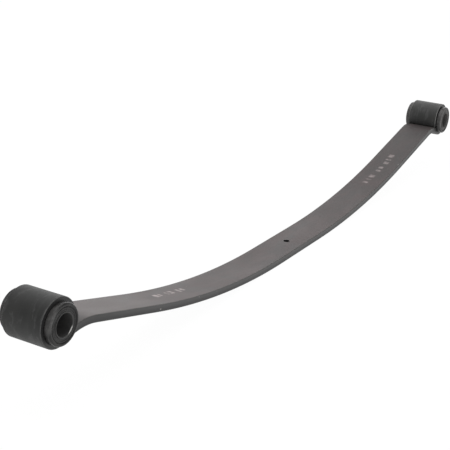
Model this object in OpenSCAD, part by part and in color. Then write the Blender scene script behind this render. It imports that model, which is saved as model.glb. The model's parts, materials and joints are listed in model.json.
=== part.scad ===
// Single-leaf suspension spring with a rubber-bushed eye at each end.
// The origin is the middle of the centre hole, on the underside of the flat seat where the axle clamps.
// +X points to the rear eye, +Y across the leaf and +Z up, towards the hollow side of the curve.

/* [Leaf] */
// Width of the leaf, and length of each eye
leaf_w = 60; // [50:1:76]
// Thickness of the leaf
leaf_t = 11; // [9:0.1:13]
// Length of the flat clamp seat in the middle
seat_l = 134; // [110:1:150]
// Diameter of the centre hole
centre_hole_d = 10; // [8:0.5:14]

/* [Front arm] */
// Distance from the centre hole to the front eye
front_eye_x = 639; // [625:0.5:660]
// Radius of the front arm's curve, at mid-thickness
front_arc_r = 1375; // [1300:5:1450]
// Slope that the front arm reaches, in degrees
front_rise = 15.5; // [14:0.1:17]
// Radius of the reverse bend into the front eye
front_bend_r = 106; // [60:1:120]

/* [Rear arm] */
// Distance from the centre hole to the rear eye
rear_eye_x = 635.5; // [620:0.5:655]
// Radius of the rear arm's curve, at mid-thickness
rear_arc_r = 1570; // [1450:5:1650]
// Slope that the rear arm reaches, in degrees
rear_rise = 13.25; // [12:0.05:14.5]
// Radius of the reverse bend into the rear eye
rear_bend_r = 72; // [30:1:110]

/* [Eyes] */
// Diameter of the bore of a rolled eye
eye_bore_d = 44; // [42:0.5:46]
// Height of an eye's centre over the middle line of the arm that runs into it
eye_lift = 2; // [0:0.1:4]
// Gap left between the rolled tip and the leaf
tip_gap = 1.2; // [0.5:0.1:3]

/* [Bushes] */
// Diameter of the rubber heads outside the eye
head_d = 55; // [52:0.5:60]
// Height of the rubber heads over the side of the eye
head_h = 9.2; // [8:0.1:12]
// Radius of the rounded rim of a head
rim_round = 1.8; // [1:0.1:2.4]
// Diameter of the flat face around the sleeve, which is sunk a little into the head
head_face_d = 46; // [40:0.5:47]
// Depth of that face below the rim
face_drop = 0.5; // [0.2:0.1:1]
// Diameter of the neck between a head and the eye
neck_d = 48; // [46:0.5:50]
// Width of the neck, seen as a groove beside the eye
neck_w = 1.6; // [0.5:0.1:2.5]
// Gap between the two halves of a bush, inside the eye
halves_gap = 1.5; // [0.5:0.1:3]

/* [Sleeves] */
// Outer diameter of the inner sleeve
sleeve_d = 33.6; // [33:0.2:36]
// Bore of the inner sleeve
sleeve_bore_d = 30; // [24:0.5:30]
// How far a sleeve stands out of the rim of the rubber
sleeve_proud = 0.4; // [0.2:0.1:2]
// Chamfer at the ends of a sleeve's bore
sleeve_chamfer = 0.8; // [0.4:0.1:1]

/* [Hidden] */
$fn = 96;

half_t = leaf_t / 2;
eye_r = eye_bore_d / 2 + leaf_t;
eye_mid_r = eye_r - half_t;
// Rolling leaves this much in the bore, and the boring cut takes it out
bore_stock = 0.3;
fit_gap = 0.05;
cut_extra = 1;
curve_steps = 24;
bend_steps = 10;
eye_step = 3;
rim_steps = 8;
sleeve_l = leaf_w + 2 * (head_h + sleeve_proud);

// A station is [x, z, slope, stock] on the middle line of the leaf. It leads outwards from the seat.
function arc_from(p, r, turn, steps, stock = 0) = [
    for (i = [1:steps]) let (a = p[2] + turn * i / steps, side = sign(turn)) [
        p[0] + side * r * (sin(a) - sin(p[2])),
        p[1] + side * r * (cos(p[2]) - cos(a)),
        a,
        stock
    ]
];
function line_from(p, l) = [p[0] + l * cos(p[2]), p[1] + l * sin(p[2]), p[2], 0];
function last(v) = v[len(v) - 1];

// The reverse bend turns until its centre, the eye's centre and the joint between them are in line
function bend_turn(bend_r) = acos((eye_lift + bend_r) / (bend_r + eye_mid_r));
// Length of the reverse bend along the arm's own slope, up to the eye's centre
function bend_run(bend_r) = sqrt(pow(bend_r + eye_mid_r, 2) - pow(eye_lift + bend_r, 2));
// Angle between the start of the roll and the place where its outside would touch the leaf again
function closing_angle(bend_r) = let (across = bend_r + eye_mid_r)
    acos((across * across + eye_r * eye_r - pow(bend_r + half_t, 2)) / (2 * across * eye_r));
function roll_turn(bend_r) = 360 - closing_angle(bend_r) - tip_gap / eye_r * 180 / PI;

// Straight run between the curve and the reverse bend that puts the eye at eye_x
function straight_run(eye_x, arc_r, rise, bend_r) =
    (eye_x - seat_l / 2 - arc_r * sin(rise) + eye_lift * sin(rise)) / cos(rise) - bend_run(bend_r);
function eye_z(eye_x, arc_r, rise, bend_r) =
    half_t + arc_r * (1 - cos(rise)) + eye_lift * cos(rise)
    + (straight_run(eye_x, arc_r, rise, bend_r) + bend_run(bend_r)) * sin(rise);

function arm(eye_x, arc_r, rise, bend_r) = let (
    seat_end = [seat_l / 2, half_t, 0, 0],
    curve = arc_from(seat_end, arc_r, rise, curve_steps),
    run_end = line_from(last(curve), straight_run(eye_x, arc_r, rise, bend_r)),
    bend = arc_from(run_end, bend_r, -bend_turn(bend_r), bend_steps),
    roll_start = concat([for (i = [0:2]) last(bend)[i]], bore_stock),
    turn = roll_turn(bend_r),
    roll = arc_from(roll_start, eye_mid_r, turn, ceil(turn / eye_step), bore_stock)
) concat([seat_end], curve, [run_end], [for (i = [0:bend_steps - 2]) bend[i]], [roll_start], roll);

// A station's point at a distance above the middle line of the leaf
function offset_point(p, d) = [p[0] - d * sin(p[2]), p[1] + d * cos(p[2])];
// The upper face of an arm becomes the bore of its eye
function upper_face(stations) = [for (p = stations) offset_point(p, half_t + p[3])];
function lower_face(stations) = [for (p = stations) offset_point(p, -half_t)];
function backwards(v) = [for (i = [len(v) - 1:-1:0]) v[i]];
function mirrored(v) = [for (p = v) [-p[0], p[1]]];

front_eye_z = eye_z(front_eye_x, front_arc_r, front_rise, front_bend_r);
rear_eye_z = eye_z(rear_eye_x, rear_arc_r, rear_rise, rear_bend_r);

// Stands a shape drawn in X and Y up into X and Z, centred across the leaf
module across_leaf(l) {
    rotate([90, 0, 0]) linear_extrude(l, center = true) children();
}

// Turns a shape about the axis of an eye. side is -1 on the near side of the leaf and 1 on the far side.
module at_eye(x, z, side = 1) {
    translate([x, 0, z]) rotate([-90 * side, 0, 0]) children();
}

module spring_leaf() {
    front = arm(front_eye_x, front_arc_r, front_rise, front_bend_r);
    rear = arm(rear_eye_x, rear_arc_r, rear_rise, rear_bend_r);
    color([0.38, 0.37, 0.36]) difference() {
        across_leaf(leaf_w) polygon(concat(
            mirrored(backwards(upper_face(front))), upper_face(rear),
            backwards(lower_face(rear)), mirrored(lower_face(front))
        ));
        translate([0, 0, -cut_extra]) cylinder(h = leaf_t + 2 * cut_extra, d = centre_hole_d);
        for (eye = [[-front_eye_x, front_eye_z], [rear_eye_x, rear_eye_z]]) at_eye(eye[0], eye[1])
            cylinder(h = leaf_w + 2 * cut_extra, d = eye_bore_d, center = true);
    }
}

// Half of a bush: a stem that fills half of the eye, a short neck and a round-rimmed head.
// It is drawn as radius and distance from the middle of the leaf.
module bush_half() {
    bore_r = sleeve_d / 2 + fit_gap;
    stem_r = eye_bore_d / 2 - fit_gap;
    side = leaf_w / 2;
    lip = side + neck_w;
    top = side + head_h;
    rim = [for (i = [0:rim_steps]) let (a = 90 * i / rim_steps) [
        head_d / 2 - rim_round + rim_round * cos(a),
        top - rim_round + rim_round * sin(a)
    ]];
    rotate_extrude() polygon(concat(
        [[bore_r, halves_gap / 2], [stem_r, halves_gap / 2], [stem_r, side], [neck_d / 2, side + fit_gap]],
        [[neck_d / 2, lip], [head_d / 2, lip]],
        rim,
        [[head_face_d / 2, top], [head_face_d / 2 - face_drop, top - face_drop], [bore_r, top - face_drop]]
    ));
}

module front_bush_near_half() {
    color([0.17, 0.17, 0.16]) at_eye(-front_eye_x, front_eye_z, -1) bush_half();
}

module front_bush_far_half() {
    color([0.17, 0.17, 0.16]) at_eye(-front_eye_x, front_eye_z, 1) bush_half();
}

module rear_bush_near_half() {
    color([0.17, 0.17, 0.16]) at_eye(rear_eye_x, rear_eye_z, -1) bush_half();
}

module rear_bush_far_half() {
    color([0.17, 0.17, 0.16]) at_eye(rear_eye_x, rear_eye_z, 1) bush_half();
}

// Steel tube through both halves, with its bore chamfered at both ends
module sleeve() {
    bore_r = sleeve_bore_d / 2;
    difference() {
        cylinder(h = sleeve_l, d = sleeve_d, center = true);
        cylinder(h = sleeve_l + 2 * cut_extra, r = bore_r, center = true);
        // A cone twice as long as the chamfer, so that it cuts right through the end face
        for (side = [-1, 1]) scale([1, 1, side]) translate([0, 0, sleeve_l / 2 - sleeve_chamfer])
            cylinder(h = 2 * sleeve_chamfer, r1 = bore_r, r2 = bore_r + 2 * sleeve_chamfer);
    }
}

module front_sleeve() {
    color([0.32, 0.32, 0.31]) at_eye(-front_eye_x, front_eye_z) sleeve();
}

module rear_sleeve() {
    color([0.32, 0.32, 0.31]) at_eye(rear_eye_x, rear_eye_z) sleeve();
}

spring_leaf();
front_bush_near_half();
front_bush_far_half();
front_sleeve();
rear_bush_near_half();
rear_bush_far_half();
rear_sleeve();
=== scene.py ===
import json
import math

import bmesh
import bpy
from mathutils import Matrix, Vector


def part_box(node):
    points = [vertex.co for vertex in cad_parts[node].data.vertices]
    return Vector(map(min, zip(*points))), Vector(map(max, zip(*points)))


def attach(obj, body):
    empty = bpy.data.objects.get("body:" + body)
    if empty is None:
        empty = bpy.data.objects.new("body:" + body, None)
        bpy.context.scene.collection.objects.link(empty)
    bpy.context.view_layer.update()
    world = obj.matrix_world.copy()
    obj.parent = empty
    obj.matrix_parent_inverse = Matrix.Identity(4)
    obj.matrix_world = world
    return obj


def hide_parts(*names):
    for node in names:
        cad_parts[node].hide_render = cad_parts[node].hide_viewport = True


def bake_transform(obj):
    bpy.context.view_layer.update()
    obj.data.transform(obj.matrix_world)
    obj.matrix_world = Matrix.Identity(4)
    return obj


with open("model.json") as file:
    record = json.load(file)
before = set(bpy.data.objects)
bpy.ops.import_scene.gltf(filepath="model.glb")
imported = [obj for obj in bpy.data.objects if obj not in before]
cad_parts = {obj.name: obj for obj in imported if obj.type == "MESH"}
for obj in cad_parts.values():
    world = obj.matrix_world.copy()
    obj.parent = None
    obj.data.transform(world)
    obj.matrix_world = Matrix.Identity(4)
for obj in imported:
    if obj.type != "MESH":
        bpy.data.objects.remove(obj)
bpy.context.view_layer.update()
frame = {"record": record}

# ---------------------------------------------------------------- driving sizes, in metres and degrees

MM = 0.001
MOUNTS = {mount["name"]: mount for mount in frame["record"]["mounts"]}
LEAF_LOW, LEAF_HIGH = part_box("spring_leaf")
LEAF_W = LEAF_HIGH.y - LEAF_LOW.y
LEAF_T = MOUNTS["seat_top"]["pos_m"][2]
SEAT_L = 134 * MM
CENTRE_HOLE_R = MOUNTS["centre_bolt_hole"]["dims"]["r_mm"] * MM
EYE_BORE_R = 22 * MM
EYE_MID_R = EYE_BORE_R + LEAF_T / 2
EYE_R = EYE_BORE_R + LEAF_T
EYE_LIFT = 2 * MM
TIP_GAP = 1.2 * MM

# Each arm: which way it leads, its eye, the radius of its curve, its final slope and its reverse bend
ARMS = {
    "front": {
        "side": -1, "eye": MOUNTS["front_sleeve_bore"]["pos_m"],
        "arc_r": 1375 * MM, "rise": 15.5, "bend_r": 106 * MM,
    },
    "rear": {
        "side": 1, "eye": MOUNTS["rear_sleeve_bore"]["pos_m"],
        "arc_r": 1570 * MM, "rise": 13.25, "bend_r": 72 * MM,
    },
}

# The rolled bar's rounded edges, and the support point beside each rounding
EDGE_R = 1.3 * MM
EDGE_SUPPORT = 0.7 * MM
EDGE_STEPS = 5
STATION_L = 9 * MM
ROLL_STEP = math.radians(3)
TIP_R = 1.2 * MM
TIP_STEPS = 4
# The leaf is cut in two here, on the flat seat
CUT_X = -60 * MM
# Half length of the flat panel round the centre hole
HOLE_PANEL = 15 * MM
HOLE_STEPS = 64
HOLE_EDGE_R = 0.6 * MM
HOLE_EDGE_STEPS = 4
# Places in bar_section of the points beside the two flats
TOP_FLAT = (EDGE_STEPS + 2, EDGE_STEPS + 3)
UNDER_FLAT = (3 * EDGE_STEPS + 8, 3 * EDGE_STEPS + 9)

SIDE_H = LEAF_W / 2
FIT_GAP = 0.05 * MM
SLEEVE_R = 16.8 * MM
SLEEVE_BORE_R = MOUNTS["front_sleeve_bore"]["dims"]["r_mm"] * MM
SLEEVE_HALF_L = (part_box("front_sleeve")[1].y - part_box("front_sleeve")[0].y) / 2
RUBBER_BORE_R = SLEEVE_R + FIT_GAP
STEM_R = EYE_BORE_R - FIT_GAP
HALVES_GAP = 1.5 * MM
HEAD_R = (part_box("front_bush_near_half")[1].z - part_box("front_bush_near_half")[0].z) / 2
HEAD_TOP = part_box("front_bush_far_half")[1].y
NECK_R = 24 * MM
NECK_W = 0.8 * MM
LATHE_STEPS = 128

# Smooth shading stops at edges sharper than this
SHARP_EDGE = math.radians(38)

# ---------------------------------------------------------------- the middle line of the leaf


def arc_from(p, radius, turn, steps):
    """Stations (x, z, slope, run) along an arc, after p."""
    side = math.copysign(1, turn)
    made = []
    for i in range(1, steps + 1):
        a = p[2] + turn * i / steps
        x = p[0] + side * radius * (math.sin(a) - math.sin(p[2]))
        z = p[1] + side * radius * (math.cos(p[2]) - math.cos(a))
        made.append((x, z, a, p[3] + radius * abs(turn) * i / steps))
    return made


def line_from(p, length, steps):
    """Stations along a straight stretch, after p."""
    x, z, slope, run = p
    made = []
    for i in range(1, steps + 1):
        gone = length * i / steps
        made.append((x + gone * math.cos(slope), z + gone * math.sin(slope), slope, run + gone))
    return made


def arm_stations(arm):
    """Stations from the end of the clamp seat to the rolled tip, as if the arm led towards +X."""
    bend_r, rise, arc_r = arm["bend_r"], math.radians(arm["rise"]), arm["arc_r"]
    across = bend_r + EYE_MID_R
    bend_turn = math.acos((EYE_LIFT + bend_r) / across)
    bend_run = math.sqrt(across**2 - (EYE_LIFT + bend_r) ** 2)
    reach = abs(arm["eye"][0]) - SEAT_L / 2 - arc_r * math.sin(rise) + EYE_LIFT * math.sin(rise)
    straight = reach / math.cos(rise) - bend_run
    closing = math.acos((across**2 + EYE_R**2 - (bend_r + LEAF_T / 2) ** 2) / (2 * across * EYE_R))
    roll_turn = 2 * math.pi - closing - TIP_GAP / EYE_R
    path = [(SEAT_L / 2, LEAF_T / 2, 0.0, SEAT_L / 2)]
    path += arc_from(path[-1], arc_r, rise, round(arc_r * rise / STATION_L))
    path += line_from(path[-1], straight, round(straight / STATION_L))
    path += arc_from(path[-1], bend_r, -bend_turn, round(bend_turn / ROLL_STEP))
    path += arc_from(path[-1], EYE_MID_R, roll_turn, math.ceil(roll_turn / ROLL_STEP))
    return path


# ---------------------------------------------------------------- the leaf


def smooth_mesh(name, bm):
    """Makes an object of bm, shaded smooth except over its sharp edges."""
    bmesh.ops.recalc_face_normals(bm, faces=bm.faces)
    for face in bm.faces:
        face.smooth = True
    for edge in bm.edges:
        edge.smooth = len(edge.link_faces) == 2 and edge.calc_face_angle() < SHARP_EDGE
    mesh = bpy.data.meshes.new(name)
    bm.to_mesh(mesh)
    bm.free()
    obj = bpy.data.objects.new(name, mesh)
    bpy.context.scene.collection.objects.link(obj)
    return obj


def bar_section(inset=0.0):
    """Points (y, n) round the bar, drawn in by inset, with a support point beside each rounded edge."""
    half_w, half_t, edge_r = LEAF_W / 2 - inset, LEAF_T / 2 - inset, EDGE_R - inset
    points = []
    for sy, sn, start in ((1, 1, 0), (-1, 1, 90), (-1, -1, 180), (1, -1, 270)):
        cy, cn = sy * (half_w - edge_r), sn * (half_t - edge_r)
        ring = []
        for i in range(EDGE_STEPS + 1):
            a = math.radians(start + 90 * i / EDGE_STEPS)
            ring.append((cy + edge_r * math.cos(a), cn + edge_r * math.sin(a)))
        along_side = (half_w * sy, cn - sn * EDGE_SUPPORT)
        along_flat = (cy - sy * EDGE_SUPPORT, half_t * sn)
        before, after = (along_side, along_flat) if sy == sn else (along_flat, along_side)
        points += [before] + ring + [after]
    return points


def ring_at(bm, bar, station, side, section):
    """A section of the bar as a ring of vertices. The bar layer keeps where each is in the straight bar."""
    x, z, slope, run = station
    ring = []
    for y, n in section:
        vert = bm.verts.new((side * (x - n * math.sin(slope)), y, z + n * math.cos(slope)))
        vert[bar] = Vector((side * run, y, n))
        ring.append(vert)
    return ring


def bridge(bm, first, second, skip=()):
    """Faces between two rings, except at the places in skip."""
    count = len(first)
    for k in range(count):
        if k not in skip:
            j = (k + 1) % count
            bm.faces.new((first[k], first[j], second[j], second[k]))


def add_arm(bm, bar, first_ring, arm):
    """Sweeps the bar outwards from first_ring, round the eye and to its rounded, closed tip."""
    path = arm_stations(arm)
    previous = first_ring
    for station in path:
        ring = ring_at(bm, bar, station, arm["side"], bar_section())
        bridge(bm, previous, ring)
        previous = ring
    x, z, slope, run = path[-1]
    for i in range(1, TIP_STEPS + 1):
        a = math.radians(90 * i / TIP_STEPS)
        ahead, inset = TIP_R * math.sin(a), TIP_R * (1 - math.cos(a))
        station = (x + ahead * math.cos(slope), z + ahead * math.sin(slope), slope, run + ahead)
        ring = ring_at(bm, bar, station, arm["side"], bar_section(inset))
        bridge(bm, previous, ring)
        previous = ring
    bm.faces.new(previous)


def seat_station(x):
    return (x, LEAF_T / 2, 0.0, x)


def add_hole(bm, bar, before, after):
    """Fills the flat between two rings, above and below, round a hole with rounded edges."""
    upper = [(CENTRE_HOLE_R + HOLE_EDGE_R + EDGE_SUPPORT, LEAF_T / 2)]
    for i in range(HOLE_EDGE_STEPS + 1):
        a = math.radians(90 * i / HOLE_EDGE_STEPS)
        r = CENTRE_HOLE_R + HOLE_EDGE_R * (1 - math.sin(a))
        upper.append((r, LEAF_T / 2 - HOLE_EDGE_R * (1 - math.cos(a))))
    loops = []
    for r, n in upper + [(r, -n) for r, n in reversed(upper)]:
        loop = []
        for i in range(HOLE_STEPS):
            a = 2 * math.pi * i / HOLE_STEPS
            vert = bm.verts.new((r * math.cos(a), r * math.sin(a), LEAF_T / 2 + n))
            vert[bar] = Vector((vert.co.x, vert.co.y, n))
            loop.append(vert)
        loops.append(loop)
    for first, second in zip(loops, loops[1:]):
        bridge(bm, first, second)
    quarter = HOLE_STEPS // 4
    for loop, (right, left) in ((loops[0], TOP_FLAT), (loops[-1], (UNDER_FLAT[1], UNDER_FLAT[0]))):
        corners = (after[right], before[right], before[left], after[left])
        for q in range(4):
            corner, next_corner = corners[q], corners[(q + 1) % 4]
            start = q * quarter
            for i in range(start, start + quarter):
                bm.faces.new((loop[i], loop[(i + 1) % HOLE_STEPS], corner))
            bm.faces.new((loop[(start + quarter) % HOLE_STEPS], next_corner, corner))


def make_leaf():
    """The leaf in two lengths that meet edge to edge on the flat seat."""
    section = bar_section()
    bm = bmesh.new()
    bar = bm.verts.layers.float_vector.new("bar")
    start = ring_at(bm, bar, seat_station(-CUT_X), -1, section)
    bm.faces.new(start)
    add_arm(bm, bar, start, ARMS["front"])
    front = smooth_mesh("leaf_front_arm", bm)

    bm = bmesh.new()
    bar = bm.verts.layers.float_vector.new("bar")
    start = ring_at(bm, bar, seat_station(CUT_X), 1, section)
    bm.faces.new(start)
    before = ring_at(bm, bar, seat_station(-HOLE_PANEL), 1, section)
    after = ring_at(bm, bar, seat_station(HOLE_PANEL), 1, section)
    bridge(bm, start, before)
    bridge(bm, before, after, skip=(TOP_FLAT[0], UNDER_FLAT[0]))
    add_hole(bm, bar, before, after)
    add_arm(bm, bar, after, ARMS["rear"])
    rear = smooth_mesh("leaf_seat_and_rear_arm", bm)
    return front, rear


# ---------------------------------------------------------------- bushes and sleeves


def lathe(name, eye, side, profile):
    """Turns a closed profile of (radius, distance from the middle of the leaf) about the axis of an eye.
    The turned layer keeps where each vertex is from the middle of the eye."""
    bm = bmesh.new()
    turned = bm.verts.layers.float_vector.new("turned")
    loops = []
    for i in range(LATHE_STEPS):
        a = 2 * math.pi * i / LATHE_STEPS
        loop = []
        for r, h in profile:
            vert = bm.verts.new((eye[0] + r * math.cos(a), side * h, eye[2] + r * math.sin(a)))
            vert[turned] = Vector((r * math.cos(a), side * h, r * math.sin(a)))
            loop.append(vert)
        loops.append(loop)
    for i in range(LATHE_STEPS):
        bridge(bm, loops[i], loops[(i + 1) % LATHE_STEPS])
    return smooth_mesh(name, bm)


def arc(cr, ch, radius, start, end, steps):
    """Points (r, h) on an arc about (cr, ch), from start to end in degrees."""
    points = []
    for i in range(steps + 1):
        a = math.radians(start + (end - start) * i / steps)
        points.append((cr + radius * math.cos(a), ch + radius * math.sin(a)))
    return points


def bush_profile():
    """Stem, neck, head with a rounded rim, two shallow grooves and the flat face that meets the sleeve."""
    stem_end, stem_edge = HALVES_GAP / 2, 0.8 * MM
    # Roundings: where the neck meets the head, under the rim, round the rim, and two on the face
    root_r, under_r, rim_r, fine_r, bead_r = (r * MM for r in (0.5, 0.6, 2.4, 0.4, 0.5))
    # Radius and depth of the outer groove, then of the inner one
    groove_r, groove, inner_r, inner_groove = (v * MM for v in (22.5, 0.6, 19.6, 0.35))
    lip = SIDE_H + NECK_W
    face_h = HEAD_TOP - 0.5 * MM

    stem = [(RUBBER_BORE_R, stem_end)]
    stem += arc(STEM_R - stem_edge, stem_end + stem_edge, stem_edge, -90, 0, 4)
    stem += [(STEM_R, SIDE_H - 0.3 * MM)]

    neck = [(NECK_R - 0.6 * MM, SIDE_H + 0.06 * MM), (NECK_R, SIDE_H + 0.2 * MM)]
    neck += arc(NECK_R + root_r, lip - root_r, root_r, 180, 90, 3)[1:]
    neck += [(HEAD_R - under_r - 0.8 * MM, lip + 0.15 * MM)]

    rim = arc(HEAD_R - under_r, lip + 0.2 * MM + under_r, under_r, -90, 0, 5)
    rim += arc(HEAD_R - rim_r, HEAD_TOP - rim_r, rim_r, 0, 90, 14)

    face = arc(groove_r + 1.4 * MM, HEAD_TOP - 0.6 * MM, 0.6 * MM, 90, 160, 3)
    face += arc(groove_r, face_h - groove + fine_r, fine_r, -10, -170, 6)
    face += arc(groove_r - 0.95 * MM, face_h - bead_r, bead_r, 20, 90, 3)
    face += arc(inner_r + 0.7 * MM, face_h - fine_r, fine_r, 90, 150, 3)
    face += [(inner_r, face_h - inner_groove)]
    face += arc(inner_r - 0.7 * MM, face_h - fine_r, fine_r, 30, 90, 3)
    face += [(RUBBER_BORE_R + 1.2 * MM, face_h)]
    face += arc(RUBBER_BORE_R + bead_r, face_h - bead_r, bead_r, 90, 180, 3)
    return stem + neck + rim + face


def sleeve_profile():
    """A tube with a chamfered, slightly rounded bore at both ends."""
    chamfer, outer = 0.8 * MM, 0.4 * MM
    half = [
        (SLEEVE_BORE_R, SLEEVE_HALF_L - 1.6 * chamfer),
        (SLEEVE_BORE_R, SLEEVE_HALF_L - chamfer),
        (SLEEVE_BORE_R + 0.12 * MM, SLEEVE_HALF_L - chamfer + 0.15 * MM),
        (SLEEVE_BORE_R + chamfer - 0.1 * MM, SLEEVE_HALF_L - 0.08 * MM),
        (SLEEVE_BORE_R + chamfer + 0.05 * MM, SLEEVE_HALF_L),
        (SLEEVE_R - outer, SLEEVE_HALF_L),
        (SLEEVE_R - 0.12 * MM, SLEEVE_HALF_L - 0.12 * MM),
        (SLEEVE_R, SLEEVE_HALF_L - outer),
        (SLEEVE_R, SLEEVE_HALF_L - 3 * outer),
    ]
    return half + [(r, -h) for r, h in reversed(half)]


# ---------------------------------------------------------------- materials


class Shader:
    """A procedural material: short names for the nodes used here."""

    def __init__(self, name):
        self.material = bpy.data.materials.new(name)
        self.material.use_nodes = True
        self.tree = self.material.node_tree
        self.surface = self.tree.nodes["Principled BSDF"]

    def node(self, kind, **settings):
        made = self.tree.nodes.new("ShaderNode" + kind)
        for key, value in settings.items():
            setattr(made, key, value)
        return made

    def put(self, socket, value):
        if isinstance(value, bpy.types.NodeSocket):
            self.tree.links.new(value, socket)
        else:
            socket.default_value = value

    def set(self, **sockets):
        """Sets the surface's sockets. A constant goes on the socket itself."""
        for key, value in sockets.items():
            self.put(self.surface.inputs[key.replace("_", " ")], value)

    def attribute(self, name):
        return self.node("Attribute", attribute_name=name).outputs["Vector"]

    def object_place(self):
        return self.node("TexCoord").outputs["Object"]

    def math(self, operation, a, b=0.0):
        made = self.node("Math", operation=operation)
        self.put(made.inputs[0], a)
        self.put(made.inputs[1], b)
        return made.outputs[0]

    def times(self, a, b):
        return self.math("MULTIPLY", a, b)

    def plus(self, a, b):
        return self.math("ADD", a, b)

    def minus(self, a, b):
        return self.math("SUBTRACT", a, b)

    def absolute(self, a):
        return self.math("ABSOLUTE", a)

    def most(self, masks):
        """The greatest of several masks."""
        made = masks[0]
        for mask in masks[1:]:
            made = self.math("MAXIMUM", made, mask)
        return made

    def length(self, a, b):
        """Length of a flat vector with the parts a and b."""
        return self.math("SQRT", self.plus(self.times(a, a), self.times(b, b)))

    def split(self, vector):
        made = self.node("SeparateXYZ")
        self.put(made.inputs[0], vector)
        return made.outputs

    def scaled(self, vector, scale):
        made = self.node("VectorMath", operation="MULTIPLY")
        self.put(made.inputs[0], vector)
        made.inputs[1].default_value = scale
        return made.outputs[0]

    def distance(self, vector, point):
        made = self.node("VectorMath", operation="DISTANCE")
        self.put(made.inputs[0], vector)
        made.inputs[1].default_value = point
        return made.outputs["Value"]

    def noise(self, vector, scale, detail=4.0, roughness=0.55, distortion=0.0):
        """Noise of one scale, or of a scale for each axis."""
        if isinstance(scale, tuple):
            vector, scale = self.scaled(vector, scale), 1.0
        made = self.node("TexNoise")
        self.put(made.inputs["Vector"], vector)
        made.inputs["Scale"].default_value = scale
        made.inputs["Detail"].default_value = detail
        made.inputs["Roughness"].default_value = roughness
        made.inputs["Distortion"].default_value = distortion
        return made.outputs["Fac"]

    def step(self, value, low, high, to_low=0.0, to_high=1.0):
        """Goes smoothly from to_low to to_high while value goes from low to high."""
        made = self.node("MapRange", interpolation_type="SMOOTHSTEP")
        self.put(made.inputs["Value"], value)
        self.put(made.inputs["From Min"], low)
        self.put(made.inputs["From Max"], high)
        self.put(made.inputs["To Min"], to_low)
        self.put(made.inputs["To Max"], to_high)
        return made.outputs[0]

    def mix(self, factor, a, b):
        made = self.node("Mix", data_type="RGBA")
        self.put(made.inputs["Factor"], factor)
        for socket, colour in ((made.inputs[6], a), (made.inputs[7], b)):
            self.put(socket, (*colour, 1.0) if isinstance(colour, tuple) else colour)
        return made.outputs[2]

    def bump(self, height, strength, distance, normal=None):
        made = self.node("Bump")
        self.put(made.inputs["Height"], height)
        made.inputs["Strength"].default_value = strength
        made.inputs["Distance"].default_value = distance
        if normal is not None:
            self.put(made.inputs["Normal"], normal)
        return made.outputs[0]


def grey(value):
    return (value, value, value)


# Pale dabs of worn paint on the upper face, in mm: place along the leaf, place across it, length and width
DABS = [
    (-393, 2, 12, 13), (-382, 3, 6, 11), (-364, 3, 7, 12), (-353, 3.5, 11, 13),
    (-334, 3, 8, 14), (-323, 3.5, 9, 11),
    (326, 0.5, 9, 12), (340, 0, 6, 13), (355, -0.5, 13, 13), (382, -2, 9, 12),
    (396, -1.5, 11, 11), (418, -3, 12, 12), (432, -2, 7, 13), (448, -1, 14, 13),
]
# Small pale nicks, in mm: place along the leaf, across it and over its middle line, and radius
NICKS = [(-428, -30, -1.5, 1.5), (421, -28, 5.5, 1.4), (-210, -30, -4.6, 1.6)]
# A run is a distance along the bar from the middle of the leaf. The looks of the eyes begin at this one
EYE_RUN = 622 * MM
REAR_STATIONS = arm_stations(ARMS["rear"])
# Runs of the rear tip and of the top of the rear eye
TIP_RUN = REAR_STATIONS[-1][3]
ROLL_TOP_RUN = max(REAR_STATIONS, key=lambda station: station[1])[3]


def dab_mask(s, bar, along, across):
    """Soft-edged dabs, thin in patches. The rear ones are fainter."""
    dabs = []
    for place, offset, length, width in DABS:
        off_along = s.absolute(s.minus(along, place * MM))
        off_across = s.absolute(s.minus(across, offset * MM))
        dabs.append(s.times(
            s.step(off_along, length / 2 * MM, (length / 2 - 2.5) * MM),
            s.step(off_across, (width / 2 + 0.5) * MM, (width / 2 - 3) * MM),
        ))
    patchy = s.step(s.noise(bar, (130.0, 130.0, 130.0), detail=4.0, roughness=0.6), 0.25, 0.58)
    return s.times(s.times(s.most(dabs), patchy), s.step(along, -1 * MM, 1 * MM, 0.8, 0.5))


def nick_mask(s, bar, fine):
    nicks = []
    for along, across, level, radius in NICKS:
        away = s.distance(bar, (along * MM, across * MM, level * MM))
        nicks.append(s.step(away, radius * MM, 0.4 * radius * MM))
    return s.times(s.times(s.most(nicks), s.step(fine, 0.35, 0.55, 0.4, 1.0)), 0.8)


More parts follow.
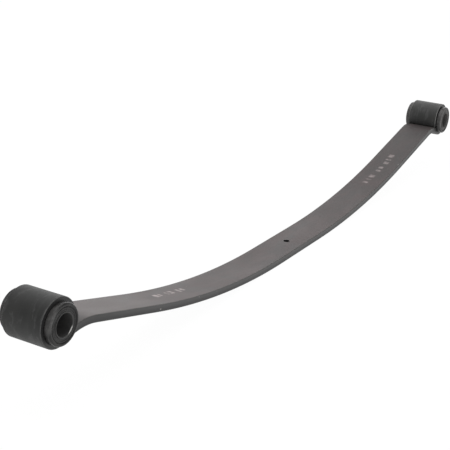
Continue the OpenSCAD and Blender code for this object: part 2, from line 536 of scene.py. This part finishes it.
def leaf_material():
    """Thin matt grey paint over rolled steel: streaks, warm patches, worn edges with a painted highlight on
    the eyes, dabs and nicks, and painted shade and highlight in places.
    """
    s = Shader("leaf_paint")
    bar = s.attribute("bar")
    along, across, deep = s.split(bar)
    from_middle = s.absolute(along)
    off_axis = s.absolute(across)

    clouds = s.noise(bar, (9.0, 24.0, 24.0), detail=3.0)
    tint = s.noise(bar, (26.0, 55.0, 55.0), detail=3.0)
    streaks = s.noise(bar, (7.0, 230.0, 230.0), detail=3.0, roughness=0.5)
    grain = s.noise(bar, 1100.0, detail=2.0, roughness=0.5)
    fine = s.noise(bar, 420.0, detail=3.0)
    scuffs = s.noise(bar, (60.0, 110.0, 60.0), detail=4.0, roughness=0.6, distortion=0.8)

    upper = s.step(deep, 0.0, LEAF_T / 2 - 1 * MM)
    side = s.step(off_axis, LEAF_W / 2 - 0.9 * MM, LEAF_W / 2 - 0.2 * MM)
    on_eye = s.step(from_middle, EYE_RUN, EYE_RUN + 10 * MM)

    # The upper face: more neutral towards the rear eye, lighter towards the front one, and painted shade
    # next to the front bush
    cool, warm, pale = (0.039, 0.031, 0.031), (0.049, 0.0332, 0.0332), (0.061, 0.047, 0.0458)
    colour = s.mix(s.step(tint, 0.38, 0.62), cool, warm)
    colour = s.mix(s.times(s.step(clouds, 0.38, 0.72), 0.3), colour, pale)
    colour = s.mix(s.times(s.step(streaks, 0.52, 0.75), 0.35), colour, pale)
    neutral = s.times(s.step(along, 300 * MM, 450 * MM), 0.4)
    colour = s.mix(neutral, colour, (0.042, 0.0405, 0.0395))
    # Lighter towards the front eye
    lighter_to_front = s.times(s.step(along, -400 * MM, -520 * MM), 0.75)
    colour = s.mix(lighter_to_front, colour, (0.078, 0.065, 0.063))
    # Painted shade on the upper face where the front bush shades it
    painted_shade_by_bush = s.times(s.step(along, -584 * MM, -606 * MM), 0.6)
    colour = s.mix(painted_shade_by_bush, colour, grey(0.014))

    # The under face, which is the outside of the eyes too, with a painted highlight along the top of the
    # rear one
    bare = s.mix(s.step(clouds, 0.35, 0.7), (0.019, 0.0195, 0.019), (0.028, 0.028, 0.027))
    bare = s.mix(s.times(s.step(streaks, 0.55, 0.75), 0.35), bare, grey(0.045))
    bare = s.mix(s.times(s.step(scuffs, 0.52, 0.64), 0.5), bare, grey(0.06))
    # Painted highlight along the top of the rear eye
    roll_top_highlight = s.absolute(s.minus(along, ROLL_TOP_RUN))
    roll_top_highlight = s.times(s.step(roll_top_highlight, 24 * MM, 6 * MM), 0.45)
    bare = s.mix(roll_top_highlight, bare, (0.085, 0.084, 0.083))
    colour = s.mix(upper, bare, colour)

    # The sides, darker below the middle line, with painted shade on them near the front eye
    side_colour = s.mix(s.step(deep, -0.35 * LEAF_T, 0.25 * LEAF_T), grey(0.012), (0.037, 0.036, 0.036))
    colour = s.mix(side, colour, side_colour)
    # Painted shade on the sides near the front eye
    painted_side_shade = s.times(side, s.step(along, -515 * MM, -565 * MM, 0.0, 0.45))
    colour = s.mix(painted_side_shade, colour, grey(0.012))
    colour = s.mix(s.times(s.step(grain, 0.55, 0.8), 0.12), colour, grey(0.015))

    # Worn edges and a painted highlight along the edges of the eyes, brightest on the rear eye, and none at
    # the rolled tips, where painted shade takes it out
    near_side = s.step(off_axis, LEAF_W / 2 - EDGE_R, LEAF_W / 2 - 0.3 * MM)
    near_face = s.step(s.absolute(deep), LEAF_T / 2 - EDGE_R, LEAF_T / 2 - 0.3 * MM)
    edge_wear_and_glint = s.times(s.times(near_side, near_face), s.step(fine, 0.3, 0.6, 0.35, 1.0))
    # Painted shade: the edge highlight fades out near the rolled tips
    edge_wear_and_glint = s.times(edge_wear_and_glint, s.step(from_middle, TIP_RUN - 2 * MM, TIP_RUN - 10 * MM))
    # Painted highlight on the eyes' edges, the rear one lightest
    eye_edge_wear_and_highlight = s.mix(s.step(along, -1 * MM, 1 * MM), (0.1, 0.099, 0.096), (0.32, 0.315, 0.305))
    worn = s.mix(on_eye, (0.12, 0.117, 0.112), eye_edge_wear_and_highlight)
    colour = s.mix(s.times(edge_wear_and_glint, 0.6), colour, worn)

    # Chips everywhere but on the eyes, then the dabs, the nicks and painted shade on the wall of the centre
    # hole
    chips = s.step(s.noise(bar, (160.0, 160.0, 160.0), detail=2.0), 0.745, 0.77)
    chips = s.times(chips, s.minus(0.5, s.times(on_eye, 0.5)))
    colour = s.mix(chips, colour, (0.22, 0.21, 0.2))
    on_top = s.step(deep, LEAF_T / 2 - 0.6 * MM, LEAF_T / 2 - 0.3 * MM)
    colour = s.mix(s.times(dab_mask(s, bar, along, across), on_top), colour, (0.36, 0.305, 0.3))
    colour = s.mix(nick_mask(s, bar, fine), colour, (0.34, 0.32, 0.31))
    # Painted shade on the wall of the centre hole
    hole_wall_shade = s.step(s.length(along, across), CENTRE_HOLE_R + 0.7 * MM, CENTRE_HOLE_R + 0.2 * MM)
    colour = s.mix(hole_wall_shade, colour, grey(0.004))

    rough = s.step(clouds, 0.3, 0.7, 0.48, 0.54)
    rough = s.plus(rough, s.times(side, -0.18))
    rough = s.plus(rough, s.times(s.minus(1.0, upper), 0.08))
    rough = s.plus(rough, s.times(s.minus(grain, 0.5), 0.07))
    rough = s.plus(rough, s.times(edge_wear_and_glint, -0.1))
    normal = s.bump(grain, 0.09, 0.12 * MM)
    normal = s.bump(streaks, 0.12, 0.15 * MM, normal)
    s.set(Base_Color=colour, Roughness=rough, Normal=normal, Metallic=0.0, Specular_IOR_Level=0.37)
    return s.material


def rubber_material():
    """Moulded black rubber with faint rings, fine pits and a soft sheen, a painted highlight at its upper
    left and painted shade at its lower right.
    """
    s = Shader("bush_rubber")
    place = s.object_place()
    bloom = s.noise(place, 55.0)
    patches = s.noise(place, 160.0, roughness=0.6)
    grain = s.noise(place, 1900.0, detail=3.0, roughness=0.6)
    pits = s.step(s.noise(place, 700.0, detail=1.0), 0.66, 0.74)
    marked = (0.03, 0.029, 0.0285)
    colour = s.mix(s.step(bloom, 0.35, 0.7), (0.01, 0.0099, 0.0097), (0.017, 0.0167, 0.0163))
    colour = s.mix(s.times(s.step(patches, 0.5, 0.68), 0.6), colour, marked)
    colour = s.mix(s.times(s.step(grain, 0.5, 0.8), 0.4), colour, (0.034, 0.033, 0.032))

    sideways, _, upwards = s.split(s.attribute("turned"))
    ring_place = s.node("CombineXYZ")
    s.put(ring_place.inputs["X"], s.length(sideways, upwards))
    rings = s.step(s.noise(ring_place.outputs[0], 480.0, detail=2.0), 0.42, 0.62)
    colour = s.mix(s.times(rings, 0.4), colour, marked)

    # Distance from the axis towards the upper left, where a highlight is painted. It reaches further in on
    # the rear bush
    upper_left = s.minus(s.times(upwards, 0.5), s.times(sideways, 0.87))
    highlight_from = s.step(s.split(place)["X"], -1 * MM, 1 * MM, 19 * MM, 10 * MM)
    # Painted highlight on the upper left of each head
    painted_highlight = s.step(upper_left, highlight_from, s.plus(highlight_from, 8 * MM))
    painted_highlight = s.times(painted_highlight, s.step(patches, 0.3, 0.65, 0.5, 0.9))
    colour = s.mix(painted_highlight, colour, (0.085, 0.083, 0.082))
    # Painted shade on the lower right of each head
    painted_shade_lower_right = s.times(s.step(upper_left, 4 * MM, -14 * MM), 0.7)
    colour = s.mix(painted_shade_lower_right, colour, grey(0.006))

    rough = s.plus(s.step(bloom, 0.3, 0.7, 0.22, 0.34), s.step(patches, 0.45, 0.7, 0.0, 0.12))
    normal = s.bump(grain, 0.22, 0.1 * MM)
    normal = s.bump(s.minus(1.0, pits), 0.2, 0.1 * MM, normal)
    s.set(Base_Color=colour, Roughness=rough, Normal=normal, Specular_IOR_Level=0.22)
    return s.material


def sleeve_material():
    """Dull phosphated steel tube. The front one is darker, with painted shade inside its bore and its
    chamfer worn bright on one side.
    """
    s = Shader("sleeve_steel")
    turned = s.attribute("turned")
    sideways, lengthwise, upwards = s.split(turned)
    clouds = s.noise(turned, 70.0)
    lines = s.noise(turned, (90.0, 2600.0, 90.0), detail=2.0)
    grain = s.noise(turned, 2100.0, detail=3.0)
    colour = s.mix(s.step(clouds, 0.35, 0.7), (0.045, 0.045, 0.044), (0.076, 0.074, 0.072))
    colour = s.mix(s.times(s.step(grain, 0.5, 0.8), 0.4), colour, (0.09, 0.088, 0.085))

    in_front = s.step(s.split(s.object_place())["X"], 1 * MM, -1 * MM)
    at_end = s.step(s.absolute(lengthwise), SLEEVE_HALF_L - 1.1 * MM, SLEEVE_HALF_L - 0.7 * MM)
    at_end = s.times(at_end, in_front)
    radius = s.length(sideways, upwards)
    # Painted shade inside the front bore
    bore_shade = s.step(radius, SLEEVE_BORE_R + 0.4 * MM, SLEEVE_BORE_R + 0.2 * MM)
    bore_shade = s.times(bore_shade, in_front)
    colour = s.mix(s.times(at_end, 0.75), colour, grey(0.014))
    colour = s.mix(s.times(bore_shade, 0.45), colour, grey(0.01))

    lower_right = s.minus(s.times(sideways, 0.72), s.times(upwards, 0.69))
    worn = s.times(at_end, s.step(lower_right, 13.8 * MM, 15.2 * MM))
    worn = s.times(worn, s.step(radius, SLEEVE_BORE_R + 0.85 * MM, SLEEVE_BORE_R + 0.6 * MM))
    colour = s.mix(worn, colour, (0.38, 0.37, 0.36))

    rough = s.minus(s.step(clouds, 0.3, 0.7, 0.5, 0.65), s.times(worn, 0.15))
    normal = s.bump(lines, 0.12, 0.05 * MM)
    normal = s.bump(grain, 0.12, 0.05 * MM, normal)
    s.set(Base_Color=colour, Roughness=rough, Normal=normal)
    s.set(Metallic=s.times(worn, 0.8), Specular_IOR_Level=0.5)
    return s.material


def floor_material():
    """Plain white studio table, lit a little from below as a light table is."""
    s = Shader("studio_floor")
    paper = s.noise(s.object_place(), 3.0, detail=2.0)
    s.set(Base_Color=s.mix(paper, grey(0.04), grey(0.044)), Roughness=0.9, Specular_IOR_Level=0.0)
    s.set(Emission_Color=(1, 1, 1, 1), Emission_Strength=0.97)
    return s.material


# ---------------------------------------------------------------- the pieces and what they ride on

leaf_paint = leaf_material()
rubber = rubber_material()
steel = sleeve_material()


def finish_piece(piece, material, node):
    """Gives a piece its material, and hides the CAD node it stands in for."""
    piece.data.materials.append(material)
    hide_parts(node)


def bend_with(piece):
    """Bakes the piece's transform into its mesh."""
    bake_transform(piece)


front_leaf, rear_leaf = make_leaf()
for piece, arm_name in ((front_leaf, "front"), (rear_leaf, "rear")):
    finish_piece(piece, leaf_paint, "spring_leaf")
    bend_with(piece)

for arm_name, arm in ARMS.items():
    for side_name, side in (("near", -1), ("far", 1)):
        node = f"{arm_name}_bush_{side_name}_half"
        half = lathe("rubber_" + node, arm["eye"], side, bush_profile())
        finish_piece(half, rubber, node)
        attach(half, arm_name + "_bush")
    tube = lathe("steel_" + arm_name + "_sleeve", arm["eye"], 1, sleeve_profile())
    finish_piece(tube, steel, arm_name + "_sleeve")
    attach(tube, arm_name + "_sleeve")

# ---------------------------------------------------------------- camera, floor and light

CAMERA_AT = Vector((-1.5264, -0.7751, 0.6720))
CAMERA_YAW, CAMERA_PITCH, CAMERA_ROLL = (math.radians(a) for a in (30.476, 20.430, 2.257))
SENSOR_MM = 36.0
LENS_MM = 85.62
CLIP_START, CLIP_END = 0.05, 60

FLOOR_HALF = 12.0
# The floor is this far below the underside of the seat
FLOOR_DROP = 0.3 * MM

WORLD_STRENGTH = 0.45
# Name, place, the point it faces, its width and height, and its power in watts
SOFTBOXES = [
    ("top_softbox", (0.3, 0.2, 2.6), (0, 0, 0), (3.0, 2.4), 50),
    ("back_softbox", (3.2, 1.9, 1.38), (0, 0, 0.2), (5.0, 2.8), 61),
    ("front_softbox", (-0.9, -2.4, 0.95), (-0.4, 0, 0.1), (3.0, 0.35), 26),
]


def make_camera():
    """Looks along +X turned by the yaw towards +Y, pitched down and rolled a little."""
    ahead = Vector((
        math.cos(CAMERA_YAW) * math.cos(CAMERA_PITCH),
        math.sin(CAMERA_YAW) * math.cos(CAMERA_PITCH),
        -math.sin(CAMERA_PITCH),
    ))
    level = Vector((math.sin(CAMERA_YAW), -math.cos(CAMERA_YAW), 0))
    upright = level.cross(ahead)
    right = math.cos(CAMERA_ROLL) * level + math.sin(CAMERA_ROLL) * upright
    up = math.cos(CAMERA_ROLL) * upright - math.sin(CAMERA_ROLL) * level
    data = bpy.data.cameras.new("camera")
    data.sensor_width = SENSOR_MM
    data.lens = LENS_MM
    data.clip_start, data.clip_end = CLIP_START, CLIP_END
    camera = bpy.data.objects.new("camera", data)
    turn = Matrix((right, up, -ahead)).transposed().to_4x4()
    camera.matrix_world = Matrix.Translation(CAMERA_AT) @ turn
    bpy.context.scene.collection.objects.link(camera)
    bpy.context.scene.camera = camera


def make_floor():
    bm = bmesh.new()
    bmesh.ops.create_grid(bm, x_segments=4, y_segments=4, size=FLOOR_HALF)
    floor = smooth_mesh("studio_floor", bm)
    floor.location.z = -FLOOR_DROP
    floor.data.materials.append(floor_material())


def area_light(name, place, target, size, power):
    data = bpy.data.lights.new(name, "AREA")
    data.shape = "RECTANGLE"
    data.size, data.size_y = size
    data.energy = power
    light = bpy.data.objects.new(name, data)
    light.location = place
    light.rotation_euler = (Vector(target) - Vector(place)).to_track_quat("-Z", "Y").to_euler()
    bpy.context.scene.collection.objects.link(light)


def make_light():
    world = bpy.data.worlds.new("studio")
    world.use_nodes = True
    background = world.node_tree.nodes["Background"]
    background.inputs["Color"].default_value = (1, 1, 1, 1)
    background.inputs["Strength"].default_value = WORLD_STRENGTH
    bpy.context.scene.world = world
    for softbox in SOFTBOXES:
        area_light(*softbox)
    bpy.context.scene.view_settings.view_transform = "Standard"
    bpy.context.scene.view_settings.look = "None"


make_camera()
make_floor()
make_light()
